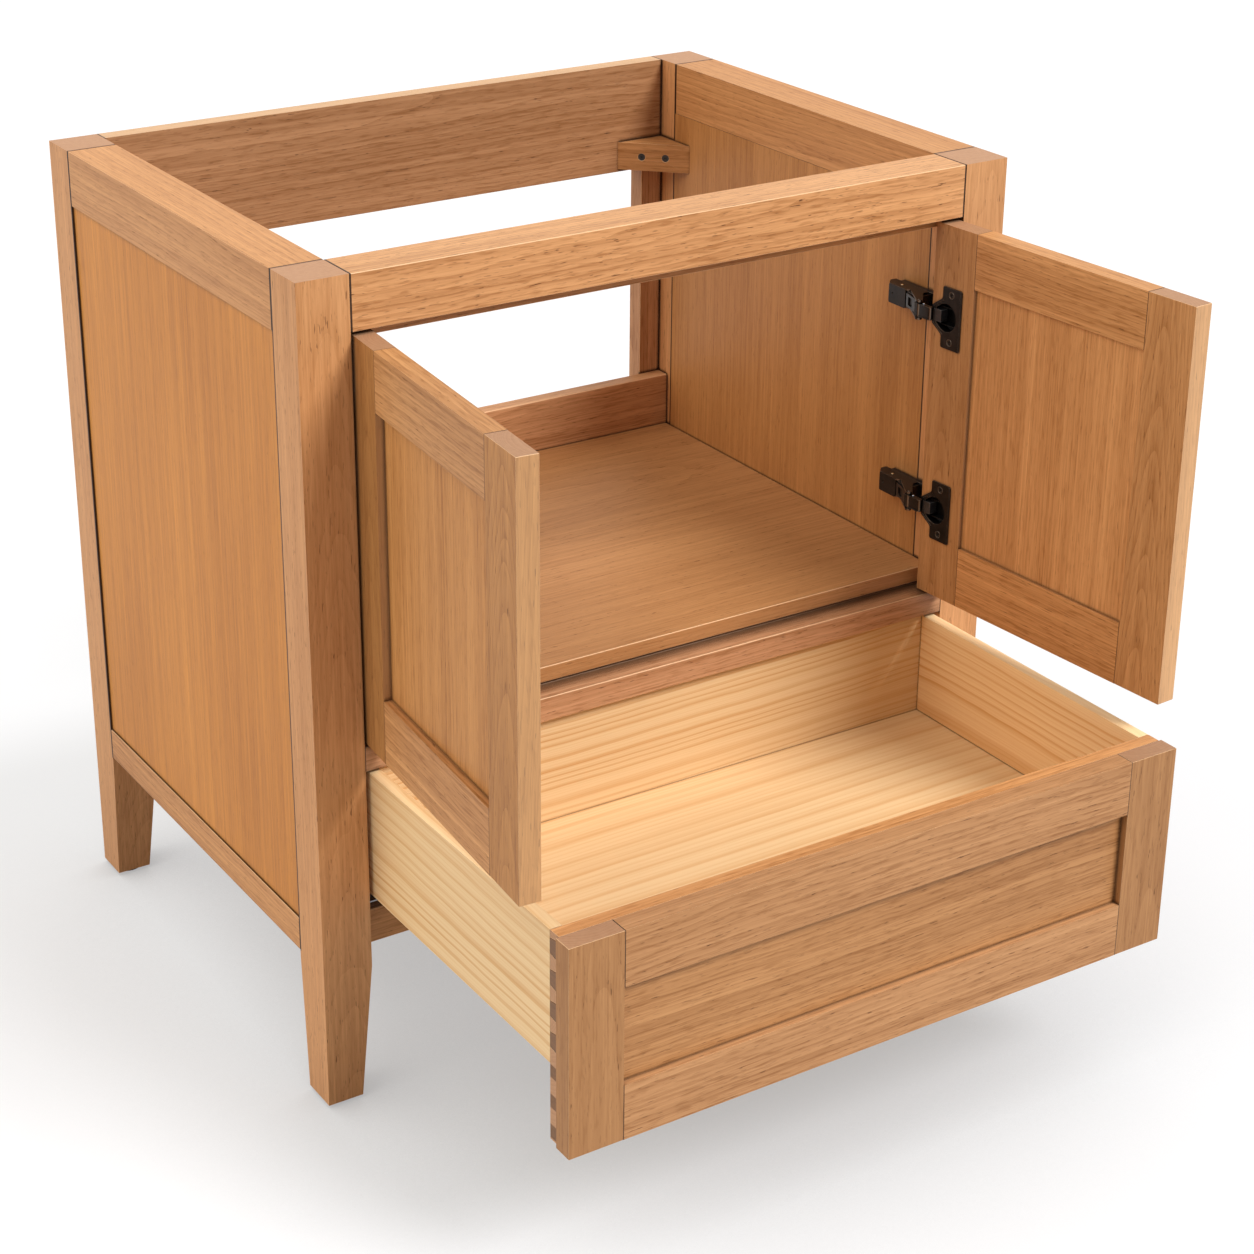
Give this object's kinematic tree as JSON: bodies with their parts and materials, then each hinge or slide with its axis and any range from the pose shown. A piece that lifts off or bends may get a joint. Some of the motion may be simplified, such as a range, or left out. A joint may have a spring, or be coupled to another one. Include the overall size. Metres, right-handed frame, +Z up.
{
  "type": "bathroom vanity unit",
  "caption": "Oak bathroom vanity base with tapered legs, open top, paired frame-and-panel doors on concealed hinges and a dovetailed drawer on under-drawer slides.",
  "frame": {"origin": "on the floor, at the centre of the part's bounding box with the doors open and the drawer out", "axes": "+X to the right seen from the front, +Y to the wall behind, +Z up; the doors and drawer face -Y"},
  "size_m": [0.762, 0.891, 0.814],
  "materials": {
    "oak": "satin oiled oak",
    "pine": "clear lacquered pine",
    "hinge_bronze": "dark bronze plated steel",
    "slide_steel": "zinc plated steel",
    "glide": "matt"
  },
  "bodies": {
    "cabinet": {"post_front_left": "oak", "post_front_right": "oak", "post_rear_left": "oak", "post_rear_right": "oak", "top_rail_front": "oak", "top_rail_rear": "oak", "top_rail_left": "oak", "top_rail_right": "oak", "bottom_rail_front": "oak", "bottom_rail_rear": "oak", "bottom_rail_left": "oak", "bottom_rail_right": "oak", "mid_rail": "oak", "side_panel_left": "oak", "side_panel_right": "oak", "side_lining_left": "oak", "side_lining_right": "oak", "door_stop": "oak", "deck": "oak", "deck_cleats": "oak", "low_back_board": "oak", "back_stile_left": "oak", "back_stile_right": "oak", "corner_block_left": "oak", "corner_block_right": "oak", "corner_block_screws": "hinge_bronze", "foot_glides": "glide", "slide_fixed_left": "slide_steel", "slide_fixed_right": "slide_steel", "hinge_arms": "hinge_bronze", "hinge_plates": "hinge_bronze", "hinge_plate_screws": "hinge_bronze"},
    "slide_middle_l": {"slide_middle_left": "slide_steel"},
    "slide_middle_r": {"slide_middle_right": "slide_steel"},
    "drawer": {"slide_drawer_left": "slide_steel", "slide_drawer_right": "slide_steel", "drawer_front_stile_left": "oak", "drawer_front_stile_right": "oak", "drawer_front_rail_top": "oak", "drawer_front_rail_bottom": "oak", "drawer_front_panel": "oak", "drawer_box_front": "oak", "drawer_side_left": "pine", "drawer_side_right": "pine", "drawer_back": "pine", "drawer_bottom": "pine"},
    "door_left": {"left_door_hinge_stile": "oak", "left_door_free_stile": "oak", "left_door_top_rail": "oak", "left_door_bottom_rail": "oak", "left_door_panel": "oak", "hinge_cups_left": "hinge_bronze"},
    "door_right": {"right_door_hinge_stile": "oak", "right_door_free_stile": "oak", "right_door_top_rail": "oak", "right_door_bottom_rail": "oak", "right_door_panel": "oak", "hinge_cups_right": "hinge_bronze"},
    "links_left": {"hinge_links_left": "hinge_bronze"},
    "links_right": {"hinge_links_right": "hinge_bronze"}
  },
  "joints": [
    {"name": "drawer_slide", "type": "slide", "parent": "cabinet", "child": "drawer", "axis": [0, -1, 0], "range_m": [-0.345, 0]},
    {"name": "slide_middle_l_slide", "type": "slide", "parent": "cabinet", "child": "slide_middle_l", "axis": [0, -1, 0], "range_m": [-0.1725, 0]},
    {"name": "slide_middle_r_slide", "type": "slide", "parent": "cabinet", "child": "slide_middle_r", "axis": [0, -1, 0], "range_m": [-0.1725, 0]},
    {"name": "door_left_hinge", "type": "hinge", "parent": "cabinet", "child": "door_left", "pos_m": [-0.322, -0.0945, 0.566], "axis": [0, 0, -1], "range_deg": [-95, 0]},
    {"name": "door_right_hinge", "type": "hinge", "parent": "cabinet", "child": "door_right", "pos_m": [0.322, -0.0945, 0.566], "axis": [0, 0, 1], "range_deg": [-94, 1]},
    {"name": "links_left_pivot", "type": "hinge", "parent": "cabinet", "child": "links_left", "pos_m": [-0.3031, -0.0745, 0.566], "axis": [0, 0, -1], "range_deg": [-32.02, 0]},
    {"name": "links_right_pivot", "type": "hinge", "parent": "cabinet", "child": "links_right", "pos_m": [0.3031, -0.0745, 0.566], "axis": [0, 0, 1], "range_deg": [-31.68, 0.34]}
  ],
  "couplings": [
    {"joint": "slide_middle_l_slide", "follows": "drawer_slide", "ratio": 0.5},
    {"joint": "slide_middle_r_slide", "follows": "drawer_slide", "ratio": 0.5},
    {"joint": "links_left_pivot", "follows": "door_left_hinge", "ratio": 0.337},
    {"joint": "links_right_pivot", "follows": "door_right_hinge", "ratio": 0.337}
  ]
}
